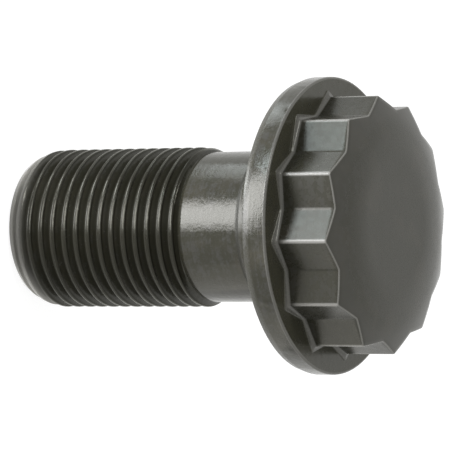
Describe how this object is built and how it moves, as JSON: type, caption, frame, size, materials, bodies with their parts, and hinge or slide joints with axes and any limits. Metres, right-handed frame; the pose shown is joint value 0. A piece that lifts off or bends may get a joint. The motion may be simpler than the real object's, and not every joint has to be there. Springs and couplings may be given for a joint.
{
  "type": "flywheel bolt",
  "caption": "Dark steel bolt with a twelve-point head on a round flange, a reduced shank and a fine metric thread.",
  "frame": {"origin": "centre of the flat thread end, on which the bolt stands", "axes": "+Z along the bolt's axis from the thread end to the head; a point of the twelve-point head lies on +X"},
  "size_m": [0.022, 0.022, 0.0302],
  "materials": {
    "dark_steel": "dark grey phosphated steel with a dull sheen, brighter where it is rubbed"
  },
  "bodies": {
    "root": {"flywheel_bolt": "dark_steel"}
  },
  "joints": []
}
